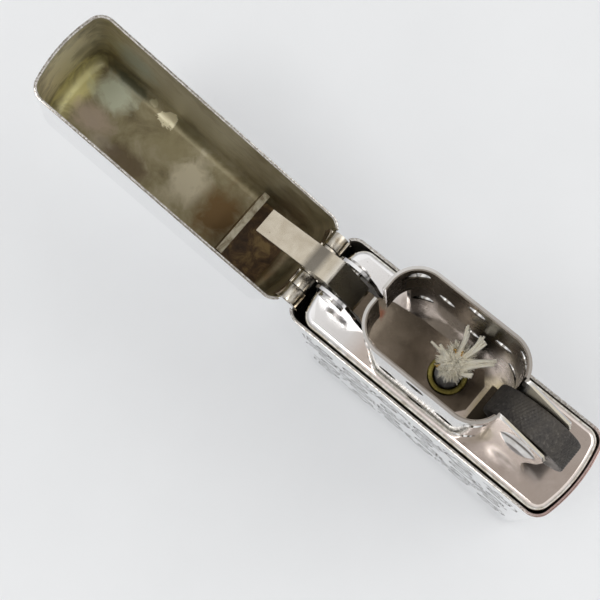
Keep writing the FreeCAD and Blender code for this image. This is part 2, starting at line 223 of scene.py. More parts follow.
def scratches(s, coords_scale=1.0):
    """Fine crossing scratches as a 0..1 height."""
    a = s.noise(s.object_mm(coords_scale, (0.25, 5, 5), (0.3, 0.5, 0.6)), 3.0, 2.0)
    b = s.noise(s.object_mm(coords_scale, (5, 5, 0.3), (0.2, 0.9, 0.1)), 3.0, 2.0)
    return s.math("ADD", s.math("MULTIPLY", a, 0.5), s.math("MULTIPLY", b, 0.5))


def shut_coords(s, lid):
    """Millimetre coordinates with the lid turned back to its shut place."""
    raw = s.object_mm()
    if not lid:
        return raw
    shift = s.tree.nodes.new("ShaderNodeVectorMath")
    shift.operation = "SUBTRACT"
    s.tree.links.new(raw, shift.inputs[0])
    shift.inputs[1].default_value = (HINGE[0], 0, HINGE[1])
    turn = s.tree.nodes.new("ShaderNodeVectorRotate")
    turn.rotation_type = "Y_AXIS"
    turn.inputs["Angle"].default_value = LID_OPEN
    s.tree.links.new(shift.outputs[0], turn.inputs["Vector"])
    back = s.tree.nodes.new("ShaderNodeVectorMath")
    back.operation = "ADD"
    s.tree.links.new(turn.outputs[0], back.inputs[0])
    back.inputs[1].default_value = (HINGE[0], 0, HINGE[1])
    return back.outputs[0]


def inside_mask(s, shut, lid):
    """1 on the inner faces of a case shell and 0 on its outer faces."""
    y = s.axis(shut, 1)
    z = s.axis(shut, 2)
    half_x, half_y = CASE_HALF
    bow = s.math("MULTIPLY", s.math("MULTIPLY", y, y), END_BOW / half_y**2)
    reach_x = s.math("ADD", s.math("ABSOLUTE", s.axis(shut, 0)), bow)
    past_x = s.math("MAXIMUM", s.math("SUBTRACT", reach_x, half_x - CORNER_R), 0.0)
    past_y = s.math("MAXIMUM", s.math("SUBTRACT", s.math("ABSOLUTE", y), half_y - CORNER_R), 0.0)
    skew = s.math("MULTIPLY", s.math("MULTIPLY", past_x, past_y), 0.4)
    corner = s.math("SUBTRACT", s.hypot(past_x, past_y, True), skew)
    plan = s.math("SUBTRACT", s.math("SQRT", corner), CORNER_R)
    edge = LID_EDGE_R if lid else CASE_EDGE_R
    over = s.math("SUBTRACT", z, LID_TOP_Z - edge) if lid else s.math("SUBTRACT", edge, z)
    out = s.math("MAXIMUM", s.math("ADD", plan, edge), 0.0)
    mid_wall = 0.2
    return s.math("LESS_THAN", s.hypot(out, s.math("MAXIMUM", over, 0.0)), edge - mid_wall)


def lid_stains_and_light(s, shut, fine):
    """Olive, yellow, grey and brown stains on the floor and walls of the lid, with painted light on the
    far wall and the +Y wall and painted shade in the crease along the +Y wall.
    """
    base = s.ramp(
        fine,
        [
            (0.34, (0.22, 0.185, 0.105)),
            (0.46, (0.34, 0.295, 0.175)),
            (0.56, (0.42, 0.370, 0.235)),
            (0.68, (0.52, 0.470, 0.330)),
        ],
    )
    patches = (
        # Painted light: the whole far end wall lightened to a pale yellow.
        ((19.3, 0.0, 45.0), (1.4, 8.0, 11.0), (0.98, 0.90, 0.64), 0.95),
        # Painted light: the +Y wall lightened, as it lies away from the lamp.
        ((4.0, 6.2, 46.0), (14.0, 1.0, 12.0), (0.62, 0.58, 0.44), 0.8),
        ((19.3, 2.6, 47.0), (1.2, 1.6, 2.6), (0.34, 0.28, 0.16), 0.7),
        ((18.6, 3.6, 51.5), (1.4, 1.2, 1.8), (0.30, 0.26, 0.15), 0.7),
        ((17.4, 0.4, 55.6), (1.9, 4.6, 2.8), (1.0, 0.94, 0.48), 1.0),
        ((13.4, 2.6, 56), (3.0, 2.4, 6), (0.82, 0.88, 0.72), 0.9),
        ((13.4, -1.8, 56), (3.0, 1.9, 6), (0.66, 0.55, 0.46), 0.85),
        ((10.2, -3.4, 56), (2.6, 1.0, 4), (0.56, 0.50, 0.40), 0.8),
        # Painted shade: a dark streak in the crease between the floor and the +Y wall.
        ((12.6, 5.0, 55.4), (4.6, 0.9, 2.2), (0.085, 0.090, 0.055), 0.85),
        ((13.0, 6.0, 45.5), (3.4, 1.2, 5.0), (0.46, 0.50, 0.42), 0.7),
        ((3.0, 5.2, 55.6), (4.2, 0.9, 2.0), (0.20, 0.18, 0.10), 0.6),
        ((6.4, -3.4, 56), (3.8, 1.9, 4), (0.17, 0.120, 0.070), 0.8),
        ((3.6, 2.2, 56), (3.2, 2.0, 4), (0.36, 0.315, 0.18), 0.6),
        ((-1.4, 0.4, 56), (2.7, 3.8, 6), (0.72, 0.66, 0.50), 0.95),
        ((-7.1, -0.6, 56), (3.0, 4.4, 6), (0.215, 0.128, 0.045), 0.97),
        ((-14.6, 0.0, 54), (3.6, 7.0, 9), (0.15, 0.085, 0.040), 0.95),
        ((-15.6, -2.6, 56), (1.9, 1.5, 4), (0.34, 0.22, 0.09), 0.8),
    )
    color = base
    for centre, reach, tint, weight in patches:
        mask = s.math("MULTIPLY", s.blob(shut, centre, reach), weight)
        color = s.mix(mask, color, tint)
    crust = s.blob(shut, (6.3, 4.7, 56.2), (1.5, 0.8, 2.2), 0.75, 0.15)
    color = s.mix(s.math("MULTIPLY", crust, 0.95), color, (0.94, 0.88, 0.64))
    fleck = s.blob(shut, (8.6, 5.1, 56.0), (0.9, 0.5, 1.5), 0.5, 0.2)
    color = s.mix(s.math("MULTIPLY", fleck, 0.8), color, (0.66, 0.62, 0.42))
    return color


def shell_material(name, lid):
    """Polished chrome outside, stained metal inside, worn at the rim; painted light and shade inside
    the lid and a painted reddish reflection on the case rim's right end.
    """
    s = Shader(name, (0.8, 0.81, 0.83), 1.0, 0.08)
    shut = shut_coords(s, lid)
    z = s.axis(shut, 2)
    inside = inside_mask(s, shut, lid)
    fine = s.noise(s.object_mm(0.22), 1.0, 6.0, 0.62, 0.5)
    if lid:
        inner_colour = lid_stains_and_light(s, shut, fine)
    else:
        inner_colour = s.ramp(fine, [(0.35, (0.06, 0.05, 0.04)), (0.6, (0.22, 0.20, 0.17))])
    rim_z = LID_RIM_Z if lid else CASE_RIM_Z
    edge = s.math("LESS_THAN", s.math("ABSOLUTE", s.math("SUBTRACT", z, rim_z)), 0.04)
    worn = s.noise(s.object_mm(3.6), 1.0, 5.0, 0.8)
    rim_color = s.ramp(
        worn,
        [
            (0.36, (0.16, 0.13, 0.11)),
            (0.50, (0.38, 0.36, 0.33)),
            (0.62, (0.66, 0.65, 0.63)),
            (0.70, (0.34, 0.23, 0.18)),
        ],
    )
    if not lid:
        # Painted reflection: the rim turns reddish-brown towards the case's right end.
        red_end_reflection = s.ranged(s.axis(shut, 0), 15.5, 18.6, 0.0, 0.75)
        rim_color = s.mix(red_end_reflection, rim_color, (0.42, 0.27, 0.25))

    cloud = s.noise(s.object_mm(0.06), 1.0, 3.0)
    chrome = s.ramp(cloud, [(0.3, (0.80, 0.81, 0.82)), (0.7, (0.88, 0.88, 0.89))])
    color = s.mix(inside, chrome, inner_colour)
    s.set("Base Color", s.mix(edge, color, rim_color))
    rub = scratches(s)
    gloss = s.ranged(rub, 0.35, 0.7, 0.03, 0.12)
    dull = s.ranged(fine, 0.35, 0.65, 0.36, 0.52)
    s.set("Roughness", s.mix_value(inside, gloss, dull))
    s.set("Metallic", s.mix_value(inside, 1.0, 0.45))
    rough_in = s.math("MULTIPLY", fine, s.math("MULTIPLY", inside, 2.0))
    s.bump(s.math("ADD", rub, rough_in), 0.02, 0.15)
    return s.mat


def steel(name, dark, light, rough=(0.12, 0.3), tint=None):
    """Worn stainless or plated steel with soft cloudy tarnish."""
    s = Shader(name, light, 1.0, 0.2)
    cloud = s.noise(s.object_mm(0.25), 1.0, 5.0, 0.6, 0.4)
    color = s.ramp(cloud, [(0.35, dark), (0.65, light)])
    if tint:
        patch = s.ranged(s.noise(s.object_mm(0.4), 1.0, 4.0, 0.6, 1.0), 0.5, 0.66)
        color = s.mix(s.math("MULTIPLY", patch, 0.6), color, tint)
    specks = s.ranged(s.cells(s.object_mm(1.3)), 0.12, 0.05)
    color = s.mix(s.math("MULTIPLY", specks, 0.35), color, dark)
    s.set("Base Color", color)
    rub = scratches(s, 1.5)
    s.set("Roughness", s.ranged(s.math("MULTIPLY", s.math("ADD", rub, cloud), 0.5), 0.35, 0.65, *rough))
    s.bump(rub, 0.01, 0.2)
    return s.mat


def dome_material():
    """Polished rivet head with a dark dimple and a dark ring around its edge."""
    s = Shader("dome_finish", (0.7, 0.68, 0.66), 1.0, 0.12)
    fine = s.noise(s.object_mm(0.8), 1.0, 4.0, 0.6, 0.4)
    bright = s.ramp(fine, [(0.35, (0.58, 0.55, 0.52)), (0.65, (0.80, 0.78, 0.76))])
    place = s.object_mm()
    away_x = s.math("SUBTRACT", s.axis(place, 0), WHEEL_X)
    away_z = s.math("SUBTRACT", s.axis(place, 2), WHEEL_Z)
    from_axle = s.hypot(away_x, away_z)
    ragged = s.math("ADD", from_axle, s.math("MULTIPLY", fine, 0.3))
    dimple = s.ranged(ragged, 1.6, 1.25, 0.0, 0.92)
    rim = s.ranged(ragged, 2.2, 2.4, 0.0, 0.85)
    dark_dimple_and_ring = s.math("MAXIMUM", dimple, rim)
    s.set("Base Color", s.mix(dark_dimple_and_ring, bright, (0.075, 0.050, 0.038)))
    rub = scratches(s, 1.5)
    s.set("Roughness", s.ranged(rub, 0.35, 0.65, 0.10, 0.22))
    s.bump(rub, 0.006, 0.06)
    return s.mat


def cam_material():
    """Satin steel tongue with a painted dark reflection band, a painted highlight at the fold and a
    painted dark reflection on the arm.
    """
    s = Shader("cam_finish", (0.70, 0.65, 0.56), 1.0, 0.25)
    place = s.object_mm()
    x = s.axis(place, 0)
    fine = s.noise(s.object_mm(0.5), 1.0, 5.0, 0.6, 0.3)
    satin = s.ramp(fine, [(0.35, (0.56, 0.49, 0.38)), (0.65, (0.70, 0.63, 0.51))])
    # Painted reflection: a dark grey band across the tongue.
    band_low = s.ranged(x, -19.2, -18.4)
    band_high = s.ranged(x, -16.6, -17.4)
    dark_reflection_band = s.math("MULTIPLY", s.math("MULTIPLY", band_low, band_high), 0.75)
    color = s.mix(dark_reflection_band, satin, (0.11, 0.102, 0.09))
    # Painted highlight: a pale line along the fold.
    fold_highlight = s.math("MULTIPLY", s.ranged(x, -16.0, -15.4), 0.55)
    color = s.mix(fold_highlight, color, (0.90, 0.86, 0.78))
    # Painted reflection: the arm past the fold made dark.
    arm_dark_reflection = s.ranged(x, -15.15, -15.0)
    color = s.mix(s.math("MULTIPLY", arm_dark_reflection, 0.93), color, (0.20, 0.175, 0.13))
    pits = s.ranged(s.cells(s.object_mm(0.9)), 0.10, 0.05)
    color = s.mix(s.math("MULTIPLY", pits, 0.6), color, (0.25, 0.20, 0.15))
    s.set("Base Color", color)
    rub = scratches(s, 1.5)
    s.set("Roughness", s.ranged(rub, 0.35, 0.65, 0.18, 0.34))
    s.bump(rub, 0.01, 0.15)
    return s.mat


def leaf_material():
    """Dark mirror-like spring leaf with brown heat tint and soot at its end."""
    s = Shader("leaf_finish", (0.3, 0.26, 0.24), 1.0, 0.15)
    place = s.object_mm()
    fine = s.noise(s.object_mm(0.3), 1.0, 5.0, 0.6, 0.5)
    color = s.ramp(
        fine,
        [(0.3, (0.13, 0.105, 0.078)), (0.55, (0.19, 0.155, 0.12)), (0.75, (0.26, 0.215, 0.175))],
    )
    end = s.blob(place, (3.6, 0.6, 36.3), (2.2, 3.4, 4), 0.2, 0.6)
    color = s.mix(s.math("MULTIPLY", end, 0.85), color, (0.045, 0.034, 0.024))
    spot = s.blob(place, (-9.3, 0.35, 38), (0.75, 0.75, 2), 0.6, 0.3)
    color = s.mix(s.math("MULTIPLY", spot, 0.8), color, (0.16, 0.055, 0.03))
    s.set("Base Color", color)
    rub = scratches(s, 0.8)
    s.set("Roughness", s.ranged(rub, 0.35, 0.65, 0.14, 0.28))
    s.bump(rub, 0.008, 0.1)
    return s.mat


def chimney_material():
    """Polished outside; dark brown and glossy with soot inside, lighter near the rim, with painted
    shade towards the bottom.
    """
    s = Shader("chimney_finish", (0.6, 0.6, 0.6), 1.0, 0.15)
    place = s.object_mm()
    x = s.axis(place, 0)
    y = s.axis(place, 1)
    z = s.axis(place, 2)
    past_x = s.math("SUBTRACT", s.math("ABSOLUTE", s.math("SUBTRACT", x, CHIMNEY_X)), 4.8)
    past_y = s.math("SUBTRACT", s.math("ABSOLUTE", y), 1.51)
    past_x = s.math("MAXIMUM", past_x, 0.0)
    past_y = s.math("MAXIMUM", past_y, 0.0)
    inside = s.math("LESS_THAN", s.hypot(past_x, past_y), 3.3)
    fine = s.noise(s.object_mm(0.3), 1.0, 4.0, 0.55, 0.4)
    soot_and_shade = s.ramp(
        fine,
        [(0.3, (0.060, 0.050, 0.038)), (0.6, (0.115, 0.098, 0.078)), (0.8, (0.19, 0.17, 0.14))],
    )
    # The inside is lighter near the rim.
    high = s.ranged(z, 52.9, 54.6)
    soot_and_shade = s.mix(s.math("MULTIPLY", high, 0.7), soot_and_shade, (0.42, 0.38, 0.34))
    # Painted shade: the inside darkened towards the bottom.
    low = s.ranged(z, 46.0, 40.0)
    soot_and_shade = s.mix(s.math("MULTIPLY", low, 0.8), soot_and_shade, (0.030, 0.023, 0.015))
    outer = s.ramp(fine, [(0.3, (0.68, 0.67, 0.65)), (0.7, (0.77, 0.76, 0.75))])
    narrow = s.math("LESS_THAN", s.math("ABSOLUTE", y), 2.2)
    between = s.math("MULTIPLY", s.ranged(x, 8.0, 8.8), narrow)
    color = s.mix(inside, outer, soot_and_shade)
    s.set("Base Color", s.mix(between, color, (0.62, 0.57, 0.46)))
    rub = scratches(s, 0.8)
    dark_inside = s.ranged(fine, 0.3, 0.7, 0.18, 0.32)
    gloss = s.mix_value(inside, s.ranged(rub, 0.3, 0.7, 0.05, 0.12), dark_inside)
    s.set("Roughness", s.mix_value(between, gloss, 0.45))
    s.set("Metallic", s.mix_value(between, 1.0, 0.4))
    s.bump(rub, 0.008, 0.08)
    return s.mat


def stop_material():
    """Brown stained stop plate with a pale worn edge."""
    s = Shader("stop_finish", (0.2, 0.13, 0.08), 0.4, 0.4)
    shut = shut_coords(s, True)
    fine = s.noise(s.object_mm(0.5), 1.0, 5.0, 0.65, 0.6)
    brown = s.ramp(
        fine,
        [(0.36, (0.060, 0.034, 0.017)), (0.52, (0.16, 0.095, 0.045)), (0.66, (0.40, 0.28, 0.13))],
    )
    pale = s.ramp(
        fine,
        [(0.38, (0.20, 0.15, 0.09)), (0.50, (0.46, 0.42, 0.31)), (0.62, (0.60, 0.56, 0.45))],
    )
    edge = s.ranged(s.axis(shut, 2), STOP_EDGE_Z + 0.25, STOP_EDGE_Z + 0.05)
    s.set("Base Color", s.mix(edge, brown, pale))
    s.set("Roughness", s.ranged(fine, 0.35, 0.65, 0.3, 0.5))
    s.bump(fine, 0.05, 0.4)
    return s.mat


def insert_material():
    """Pinkish-grey plate, cream at its shoulder and stained by the wheel, on a grey tank; a painted
    pale reflection at the hinge end and soot with painted shade on the plate inside the chimney.
    """
    s = Shader("insert_finish", (0.76, 0.68, 0.64), 1.0, 0.12)
    place = s.object_mm()
    z = s.axis(place, 2)
    cloud = s.noise(s.object_mm(0.25), 1.0, 5.0, 0.6, 0.4)
    color = s.ramp(cloud, [(0.35, (0.68, 0.60, 0.55)), (0.65, (0.78, 0.70, 0.66))])
    # Painted reflection: the plate lightened to near white towards the hinge end.
    hinge_end_reflection = s.ranged(s.axis(place, 0), -8.5, -11.0, 0.0, 0.85)
    color = s.mix(hinge_end_reflection, color, (0.84, 0.84, 0.85))
    below_plate = s.ranged(z, PLATE_Z - 0.03, PLATE_Z - 0.3)
    shoulder = s.math("MULTIPLY", below_plate, s.ranged(z, 34.7, 35.1, 0.0, 0.9))
    grime = s.noise(s.object_mm(1.5), 1.0, 5.0, 0.7, 0.4)
    cream = s.ramp(
        grime,
        [(0.40, (0.46, 0.41, 0.31)), (0.52, (0.78, 0.74, 0.64)), (0.62, (0.90, 0.88, 0.82))],
    )
    color = s.mix(shoulder, color, cream)
    # Soot and painted shade: the plate inside the chimney darkened.
    dark_inside = s.blob(place, (-1.6, 2.4, 36), (7.6, 3.0, 3), 0.10, 0.3)
    color = s.mix(s.math("MULTIPLY", dark_inside, 0.92), color, (0.060, 0.048, 0.034))
    khaki = s.blob(place, (6.6, 0.2, 36), (2.6, 3.9, 3), 0.10, 0.4)
    color = s.mix(s.math("MULTIPLY", khaki, 0.9), color, (0.46, 0.40, 0.26))
    specks = s.ranged(s.cells(s.object_mm(1.1)), 0.08, 0.04)
    color = s.mix(s.math("MULTIPLY", specks, 0.4), color, (0.30, 0.24, 0.20))
    tank = s.ramp(cloud, [(0.35, (0.60, 0.60, 0.60)), (0.65, (0.70, 0.70, 0.70))])
    color = s.mix(s.ranged(z, 35.1, 34.7), color, tank)
    s.set("Base Color", color)
    rub = scratches(s, 1.5)
    s.set("Roughness", s.ranged(rub, 0.35, 0.65, 0.08, 0.18))
    s.bump(rub, 0.006, 0.05)
    return s.mat


def brass(name, dark=(0.45, 0.30, 0.07), light=(0.83, 0.68, 0.25)):
    return steel(name, dark, light, (0.18, 0.4))


def cotton(name, shade=(0.86, 0.79, 0.62), light=(1.0, 0.97, 0.86), darker_base=False):
    """Fibrous cloth, darker brown low down if it is the wick."""
    s = Shader(name, light, 0.0, 0.85)
    fibres = s.noise(s.object_mm(3.0, (1, 1, 0.35)), 1.5, 6.0, 0.7, 0.6)
    cloud = s.noise(s.object_mm(0.6), 1.0, 3.0)
    color = s.ramp(s.mix_value(0.5, fibres, cloud), [(0.35, shade), (0.62, light)])
    if darker_base:
        height = s.axis(s.object_mm(), 2)
        color = s.mix(s.ranged(height, 41.6, 39.6, 0.0, 0.9), color, (0.07, 0.05, 0.03))
    s.set("Base Color", color)
    s.set("Sheen Weight", 0.5)
    s.bump(fibres, 0.08, 0.3)
    return s.mat


def wheel_material():
    """Dark gritty steel with a little dust."""
    s = Shader("wheel_finish", (0.07, 0.065, 0.06), 0.4, 0.55)
    grain = s.noise(s.object_mm(2.6), 1.0, 6.0, 0.7, 0.3)
    dust = s.ranged(s.noise(s.object_mm(0.5), 1.0, 4.0, 0.7), 0.45, 0.7)
    color = s.ramp(
        grain,
        [(0.3, (0.026, 0.023, 0.021)), (0.55, (0.060, 0.054, 0.049)), (0.78, (0.19, 0.175, 0.155))],
    )
    s.set("Base Color", s.mix(s.math("MULTIPLY", dust, 0.4), color, (0.10, 0.088, 0.070)))
    s.set("Roughness", s.ranged(grain, 0.3, 0.7, 0.45, 0.7))
    s.bump(grain, 0.05, 0.6)
    return s.mat


def engraving_material():
    """Dark grime that fills the engraved lines."""
    s = Shader("engraving_finish", (0.2, 0.2, 0.22), 0.3, 0.45)
    grain = s.noise(s.object_mm(1.5), 1.0, 4.0)
    s.set("Base Color", s.ramp(grain, [(0.38, (0.018, 0.015, 0.010)), (0.66, (0.10, 0.085, 0.055))]))
    s.set("Roughness", s.ranged(grain, 0.3, 0.7, 0.3, 0.6))
    s.bump(grain, 0.02, 0.4)
    return s.mat


def floor_material():
    """Matte pale paper."""
    s = Shader("floor_finish", (0.80, 0.81, 0.82), 0.0, 0.7)
    grain = s.noise(s.object_mm(0.05), 1.0, 3.0)
    s.set("Base Color", s.ramp(grain, [(0.3, (0.79, 0.80, 0.81)), (0.7, (0.81, 0.82, 0.83))]))
    return s.mat


# --------------------------------------------------------------- mesh helpers


def mesh_object(name, verts, faces, material, smooth=True):
    """A mesh object from millimetre vertices."""
    mesh = bpy.data.meshes.new(name)
    mesh.from_pydata([Vector(v) * MM for v in verts], [], faces)
    mesh.validate()
    for poly in mesh.polygons:
        poly.use_smooth = smooth
    obj = bpy.data.objects.new(name, mesh)
    bpy.context.scene.collection.objects.link(obj)
    obj.data.materials.append(material)
    return obj


def tube(name, path, radii, material, sides=10, twist=0.0, lobes=0, lobe=0.0):
    """A tube along a path of millimetre points, with optional twisted lobes."""
    points = [Vector(p) for p in path]
    verts = []
    faces = []
    side = None
    for i, point in enumerate(points):
        ahead = points[min(i + 1, len(points) - 1)] - points[max(i - 1, 0)]
        ahead.normalize()
        if side is None:
            side = ahead.orthogonal().normalized()
        side = (side - ahead * side.dot(ahead)).normalized()
        other = ahead.cross(side)
        radius = radii[i] if isinstance(radii, (list, tuple)) else radii
        for k in range(sides):
            angle = 2 * math.pi * k / sides
            grow = 1 + lobe * math.cos(lobes * angle + twist * i)
            verts.append(point + (side * math.cos(angle) + other * math.sin(angle)) * radius * grow)
    for i in range(len(points) - 1):
        for k in range(sides):
            a = i * sides + k
            b = i * sides + (k + 1) % sides
            faces.append((a, b, b + sides, a + sides))
    faces.append(tuple(range(sides - 1, -1, -1)))
    faces.append(tuple(range((len(points) - 1) * sides, len(points) * sides)))
    return mesh_object(name, verts, faces, material)


def bezier(points, steps):
    """Points on a Bezier curve with any number of control points."""
    out = []
    for i in range(steps + 1):
        t = i / steps
        work = [Vector(p) for p in points]
        while len(work) > 1:
            work = [work[k].lerp(work[k + 1], t) for k in range(len(work) - 1)]
        out.append(work[0])
    return out


def join(objects, name):
    """Join mesh objects into one named piece."""
    bm = bmesh.new()
    for obj in objects:
        bm.from_mesh(obj.data)
    mesh = bpy.data.meshes.new(name)
    bm.to_mesh(mesh)
    bm.free()
    for poly in mesh.polygons:
        poly.use_smooth = True
    mesh.materials.append(objects[0].data.materials[0])
    for obj in objects:
        bpy.data.objects.remove(obj)
    piece = bpy.data.objects.new(name, mesh)
    bpy.context.scene.collection.objects.link(piece)
    return piece


def finish_node(name, material, bevel=0.0, angle=32.0):
    """Give a carried CAD node its material, soft edges and smooth shading."""
    obj = NODES[name]
    obj.data.materials.clear()
    obj.data.materials.append(material)
    for poly in obj.data.polygons:
        poly.use_smooth = True
    weld = obj.modifiers.new("weld", "WELD")
    weld.merge_threshold = 0.000002
    if bevel:
        soft = obj.modifiers.new("bevel", "BEVEL")
        soft.width = bevel * MM
        soft.segments = 2
        soft.limit_method = "ANGLE"
        soft.angle_limit = math.radians(65)
    split = obj.modifiers.new("split", "EDGE_SPLIT")
    split.split_angle = math.radians(angle)
    even = obj.modifiers.new("even_normals", "WEIGHTED_NORMAL")
    even.weight = 90


# ---------------------------------------------------------------- CAD finishes

CHROME = shell_material("case_finish", False)
CHROME_LID = shell_material("lid_finish", True)
HINGE_STEEL = steel(
    "hinge_finish",
    (0.30, 0.26, 0.20),
    (0.66, 0.62, 0.55),
    (0.14, 0.35),
    tint=(0.35, 0.26, 0.14),
)
INSERT_STEEL = insert_material()
CAM_STEEL = cam_material()
LEAF_STEEL = leaf_material()
STOP_STEEL = stop_material()
RIVET_STEEL = steel("rivet_finish", (0.50, 0.48, 0.46), (0.80, 0.78, 0.76), (0.08, 0.2))
BRASS = brass("brass_finish")
EYELET_BRASS = brass("eyelet_finish", (0.15, 0.12, 0.03), (0.36, 0.31, 0.09))
SPRING_STEEL = steel("spring_finish", (0.42, 0.42, 0.43), (0.70, 0.70, 0.71))
FLINT_GREY = steel("flint_finish", (0.10, 0.10, 0.10), (0.24, 0.23, 0.22), (0.5, 0.7))

finish_node("case_bottom", CHROME, 0.1, 40)
finish_node("lid_shell", CHROME_LID, 0.1, 40)
finish_node("hinge_lower_leaf", HINGE_STEEL, 0.05)
finish_node("hinge_upper_leaf", HINGE_STEEL, 0.05)
finish_node("hinge_pin", HINGE_STEEL, 0.05)
finish_node("lid_stop", STOP_STEEL, 0.06)
finish_node("insert_shell", INSERT_STEEL)
finish_node("chimney", chimney_material())
finish_node("cam_spring", LEAF_STEEL)
finish_node("cam", CAM_STEEL, 0.06)
finish_node("cam_rivet", RIVET_STEEL, 0.12)
finish_node("wheel_rivet", dome_material())
finish_node("wick_eyelet", EYELET_BRASS, 0.06)
finish_node("flint_tube", BRASS, 0.05)
finish_node("flint", FLINT_GREY, 0.05)
finish_node("flint_plunger", BRASS, 0.05)
finish_node("flint_screw", BRASS, 0.05)


# ------------------------------------------------------------------ flint wheel


def make_wheel():
    """Steel wheel with two crossing sets of fine rasp teeth."""
    around = 384
    across = 26
    verts = []
    faces = []

    def ridge(value):
        """A saw tooth that climbs slowly and falls fast."""
        value = value % 1.0
        return value / 0.7 if value < 0.7 else (1.0 - value) / 0.3

    for j in range(across + 1):
        y = -WHEEL_HALF + 2 * WHEEL_HALF * j / across
        edge = min(1.0, (WHEEL_HALF - abs(y)) / 0.25)
        for i in range(around):
            turn = i / around
            cut_a = ridge(turn * 84 + y * 1.3)
            cut_b = ridge(turn * 64 - y * 2.1 + 0.3)
            depth = random.uniform(0.10, 0.14) * (1 - min(cut_a, cut_b)) ** 1.3
            r = WHEEL_R - depth * (0.3 + 0.7 * edge) - 0.10 * (1 - edge) ** 2
            a = 2 * math.pi * turn
            verts.append((WHEEL_X + r * math.cos(a), y, WHEEL_Z + r * math.sin(a)))
    for j in range(across):
        for i in range(around):
            a = j * around + i
            b = j * around + (i + 1) % around
            faces.append((a, b, b + around, a + around))
    rings = [(4.3, 0.0), (4.1, 0.14), (1.9, 0.14), (1.8, 0.0), (AXLE_BORE_R, 0.0)]
    for side in (-1, 1):
        last = 0 if side < 0 else across * around
        for r, dip in rings:
            start = len(verts)
            for i in range(around):
                a = 2 * math.pi * i / around
                y = side * (WHEEL_HALF - dip)
                verts.append((WHEEL_X + r * math.cos(a), y, WHEEL_Z + r * math.sin(a)))
            for i in range(around):
                n = (i + 1) % around
                quad = (last + i, start + i, start + n, last + n)
                faces.append(quad if side > 0 else quad[::-1])
            last = start
    left = len(verts) - around
    right = left - len(rings) * around
    for i in range(around):
        n = (i + 1) % around
        faces.append((right + i, left + i, left + n, right + n))
    wheel = mesh_object("wheel_rasp", verts, faces, wheel_material())
    bm = bmesh.new()
    bm.from_mesh(wheel.data)
    bmesh.ops.recalc_face_normals(bm, faces=bm.faces)
    bm.to_mesh(wheel.data)
    bm.free()
    split = wheel.modifiers.new("split", "EDGE_SPLIT")
    split.split_angle = math.radians(50)
    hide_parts("flint_wheel")
    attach(wheel, "wheel")


make_wheel()


def make_spring():
    """Coil spring under the flint."""
    steps = 24
    count = SPRING_TURNS * steps
    path = []
    for i in range(count + 1):
        a = 2 * math.pi * i / steps
        x = WHEEL_X + SPRING_COIL_R * math.cos(a)
        y = SPRING_COIL_R * math.sin(a)
        path.append((x, y, SPRING_LOW_Z + SPRING_HEIGHT * i / count))
    coil = tube("spring_coil", path, SPRING_WIRE_R, SPRING_STEEL, 8)
    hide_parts("flint_spring")
    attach(coil, "spring")
    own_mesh(coil)


make_spring()

# ------------------------------------------------------------------------ wick

COTTON = cotton("wick_finish", darker_base=True)
FRAY_BASE = (0.9, 0.35, 42.6)


def wick_path():
    """Centre line from the frayed top down and back and forth through the packing."""
    points = [
        (0.9, 0.35, 42.9),
        (0.8, 0.2, 41.0),
        (WICK_X, 0, 38.5),
        (WICK_X, 0, 35.0),
        (WICK_X, 0, 31.0),
    ]
    bend = 4
    arcs = (
        (WICK_X - bend, 31.0, 0, -90, -11.0),
        (-11.0, 23.0, 90, 270, 3.0),
        (3.0, 15.0, 90, -90, -11.0),
    )
    for cx, cz, start, end, run_to in arcs:
        for i in range(1, 9):
            a = math.radians(start + (end - start) * i / 8)
            points.append((cx + bend * math.cos(a), 0, cz + bend * math.sin(a)))
        last = points[-1]
        for i in range(1, 7):
            points.append((last[0] + (run_to - last[0]) * i / 6, 0, last[2]))
    fine = []
    for a, b in zip(points, points[1:]):
        for i in range(3):
            fine.append(Vector(a).lerp(Vector(b), i / 3))
    fine.append(Vector(points[-1]))
    return fine


def long_yarns():
    """Bundles of loose yarn that lean out of the wick's top."""
    yarns = []
    bundles = (
        ((0.9, 1.9, 45.0), (0.2, 3.2, 45.9), (-0.3, 4.1, 46.2), 5, 0.20),
        ((1.4, 2.1, 44.9), (1.6, 3.4, 45.6), (1.5, 4.3, 45.9), 4, 0.18),
        ((1.5, 1.9, 44.8), (1.9, 3.0, 45.4), (2.0, 4.0, 45.7), 4, 0.18),
        ((1.9, 1.6, 44.6), (2.9, 2.4, 45.2), (4.0, 3.2, 45.6), 6, 0.22),
        ((2.0, 0.5, 44.4), (3.0, 1.9, 45.0), (4.1, 2.9, 45.4), 4, 0.14),
        ((1.9, -0.3, 43.8), (2.5, 0.2, 44.1), (3.0, 0.7, 44.3), 5, 0.20),
        ((-0.8, 0.4, 44.2), (-1.5, 0.5, 44.7), (-2.2, 0.6, 45.0), 4, 0.18),
        ((-0.4, 0.7, 44.3), (-1.0, 0.8, 44.8), (-1.6, 0.8, 45.0), 3, 0.15),
    )
    for n, (mid, late, tip, count, wide) in enumerate(bundles):
        for k in range(count):
            spread = [random.uniform(-wide, wide) for _ in range(9)]
            aside = (random.uniform(-0.8, 0.8), random.uniform(-0.8, 0.8), -0.8)
            start = Vector(FRAY_BASE) + Vector(aside)
            line = bezier(
                [
                    start,
                    Vector(mid) + Vector(spread[0:3]),
                    Vector(late) + Vector(spread[3:6]),
                    Vector(tip) + Vector(spread[6:9]) * 1.5,
                ],
                14,
            )
            radii = [0.20 * (1 - 0.35 * i / 14) for i in range(15)]
            yarns.append(tube("yarn_%d_%d" % (n, k), line, radii, COTTON, 7))
    return yarns


